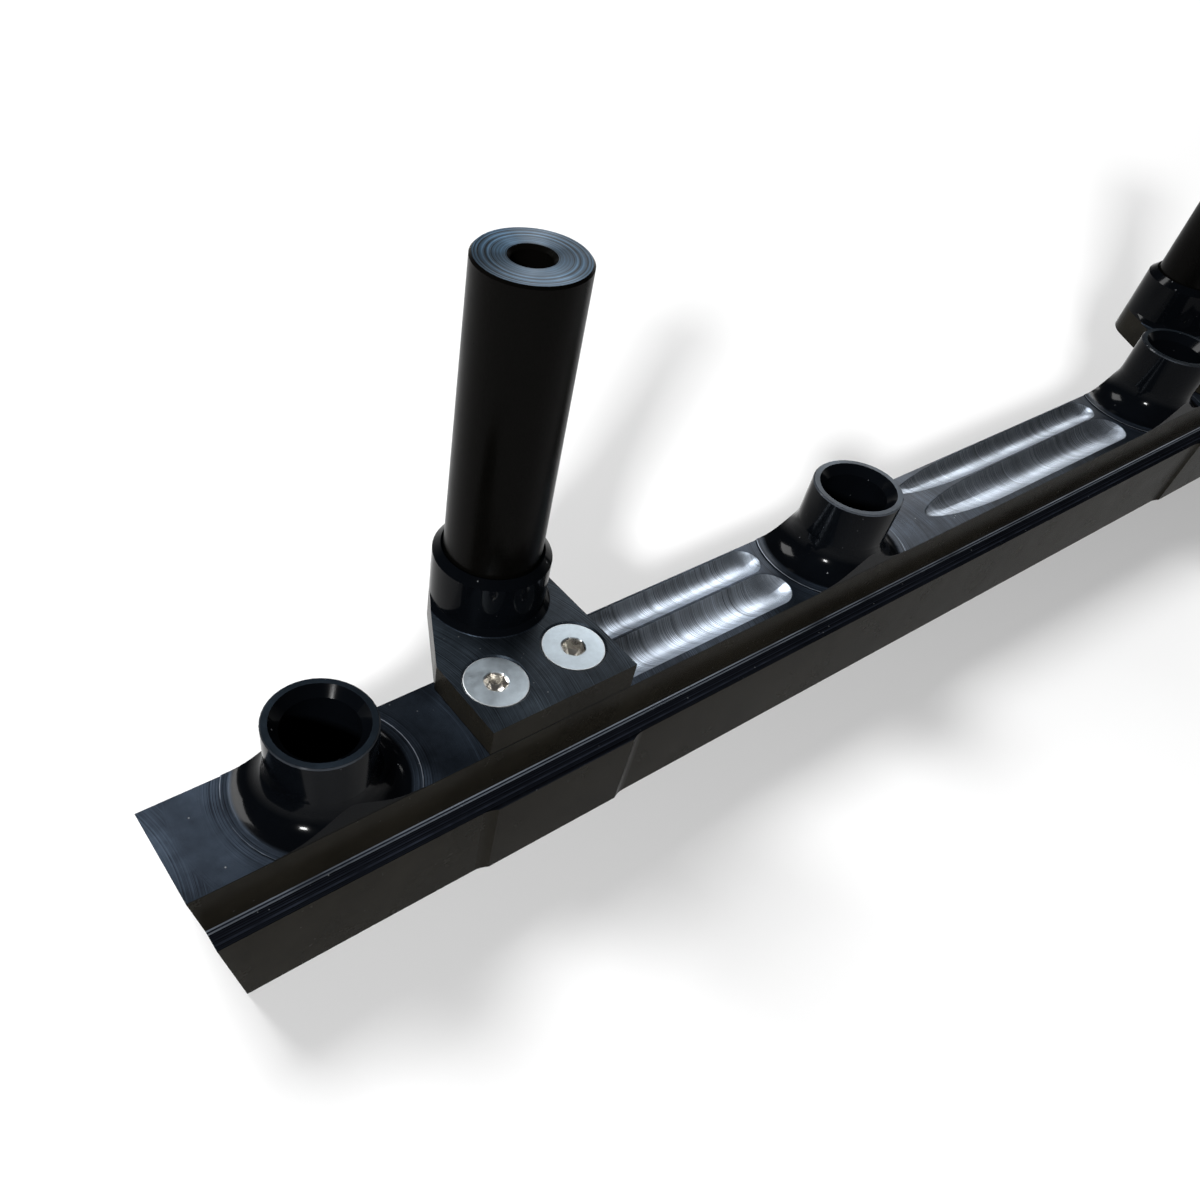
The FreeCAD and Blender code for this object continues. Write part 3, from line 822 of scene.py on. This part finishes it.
def buildThreadTree():
    tree, given, made = newShapeTree("portThread", {
        "Radius": "Float", "Ridge": "Float", "Pitch": "Float", "Turns": "Float", "Mouth": "Float",
        "Level": "Float", "Material": "Material",
    })
    link = tree.links.new
    spiral = addNode(tree, "GeometryNodeCurveSpiral")
    spiral.inputs["Resolution"].default_value = port["stepsPerTurn"]
    link(given.outputs["Turns"], spiral.inputs["Rotations"])
    link(given.outputs["Radius"], spiral.inputs["Start Radius"])
    link(given.outputs["Radius"], spiral.inputs["End Radius"])
    link(multiply(tree, given.outputs["Turns"], given.outputs["Pitch"]), spiral.inputs["Height"])
    upright = addNode(tree, "GeometryNodeSetCurveNormal", mode="Z_UP")
    link(spiral.outputs[0], upright.inputs["Curve"])
    profile = addNode(tree, "GeometryNodeCurvePrimitiveCircle")
    profile.inputs["Resolution"].default_value = port["ridgeSides"]
    link(given.outputs["Ridge"], profile.inputs["Radius"])
    swept = addNode(tree, "GeometryNodeCurveToMesh")
    swept.inputs["Fill Caps"].default_value = True
    link(upright.outputs[0], swept.inputs["Curve"])
    link(profile.outputs[0], swept.inputs["Profile Curve"])
    laid = addNode(tree, "GeometryNodeTransform")
    laid.inputs["Rotation"].default_value = (0, -math.pi / 2, 0)
    link(swept.outputs[0], laid.inputs["Geometry"])
    link(vectorOf(tree, x=given.outputs["Mouth"], z=given.outputs["Level"]), laid.inputs["Translation"])
    turned = addNode(tree, "GeometryNodeTransform")
    turned.inputs["Rotation"].default_value = (0, 0, math.pi)
    link(laid.outputs[0], turned.inputs["Geometry"])
    paintAndFinish(tree, joinShapes(tree, laid.outputs[0], turned.outputs[0]), given, made)
    return tree


portThreads = addPiece("portThreads", bpy.data.meshes.new("portThreads"))
addModifier(portThreads, buildThreadTree(), **{
    "Radius": port["boreRadius"] * mm, "Ridge": port["ridgeHeight"] * mm,
    "Pitch": port["threadPitch"] * mm, "Turns": float(port["turns"]),
    "Mouth": port["firstTurn"] * mm, "Level": port["level"] * mm, "Material": railMaterial,
})
bake(portThreads)
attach(portThreads, "root")
print("port threads ready")


# floor, world and lamps

studio = {
    "floorHalfSize": 6.0,
    "floorColour": (0.82, 0.82, 0.82),
    "farFloorColour": (0.0, 0.0, 0.0),
    "floorShader": {"Roughness": 0.9, "Specular_IOR_Level": 0.1, "Emission_Color": (1, 1, 1, 1)},
    "floorGlow": 0.03,
    "floorFade": (0.36, 0.75),  # where the floor turns into the plain white background
    "skyLow": 1.0,              # what gloss sees at the horizon, and from skyTop on upwards
    "skyHigh": 0.05,
    "skyTop": 0.30,
    "skyFill": 0.06,
    "lamps": {
        # name: (place, aimed at, width, height, power)
        "window": ((0.95, 0.77, 0.65), (-0.05, 0.0, 0.03), 0.70, 0.40, 8.0),
        "back": ((-0.40, 1.00, 1.20), (-0.05, 0.0, 0.0), 0.60, 0.50, 18.7),
        "frontLeft": ((-1.29, -0.72, 0.78), (-0.05, 0.05, 0.0), 0.19, 0.16, 29.5),
    },
}


def addLamp(name, place, aim, width, height, power):
    data = bpy.data.lights.new(name, "AREA")
    data.shape = "RECTANGLE"
    data.size, data.size_y = width, height
    data.energy = power
    lamp = bpy.data.objects.new(name, data)
    lamp.location = place
    lamp.rotation_euler = (Vector(aim) - Vector(place)).to_track_quat("-Z", "Y").to_euler()
    bpy.context.scene.collection.objects.link(lamp)


for name, settings in studio["lamps"].items():
    addLamp(name, *settings)


def buildFloor():
    mesh = bpy.data.meshes.new("floor")
    shape = bmesh.new()
    bmesh.ops.create_grid(shape, x_segments=1, y_segments=1, size=studio["floorHalfSize"])
    shape.to_mesh(mesh)
    shape.free()
    floor = addPiece("floor", mesh)
    material, tree, principled, place = newMaterial("paleFloor", **studio["floorShader"])
    reach = addNode(tree, "ShaderNodeVectorMath", operation="LENGTH")
    tree.links.new(place.outputs["Object"], reach.inputs[0])
    away = stepUp(tree, reach.outputs["Value"], *studio["floorFade"])
    colour = mixColours(tree, away, studio["floorColour"], studio["farFloorColour"])
    tree.links.new(colour, principled.inputs["Base Color"])
    rays = addNode(tree, "ShaderNodeLightPath").outputs
    seen = highest(tree, rays["Is Camera Ray"], rays["Is Transmission Ray"], rays["Is Glossy Ray"])
    glow = line(tree, away, 1.0 - studio["floorGlow"], studio["floorGlow"])
    tree.links.new(multiply(tree, seen, glow), principled.inputs["Emission Strength"])
    mesh.materials.append(material)


def buildWorld():
    world = bpy.data.worlds.new("studio")
    bpy.context.scene.world = world
    world.use_nodes = True
    tree = world.node_tree
    background = tree.nodes["Background"]
    way = splitVector(tree, addNode(tree, "ShaderNodeTexCoord").outputs["Generated"])
    sky = addNode(tree, "ShaderNodeMapRange")
    tree.links.new(way[2], sky.inputs["Value"])
    setInputs(sky, From_Min=0.0, From_Max=studio["skyTop"], To_Min=studio["skyLow"],
              To_Max=studio["skyHigh"])
    rays = addNode(tree, "ShaderNodeLightPath").outputs
    onObject = mixNumbers(tree, rays["Is Glossy Ray"], studio["skyFill"], sky.outputs[0])
    seen = highest(tree, rays["Is Camera Ray"], rays["Is Transmission Ray"])
    background.inputs["Color"].default_value = (1, 1, 1, 1)
    tree.links.new(mixNumbers(tree, seen, onObject, 1.0), background.inputs["Strength"])


buildFloor()
buildWorld()
print("studio ready")
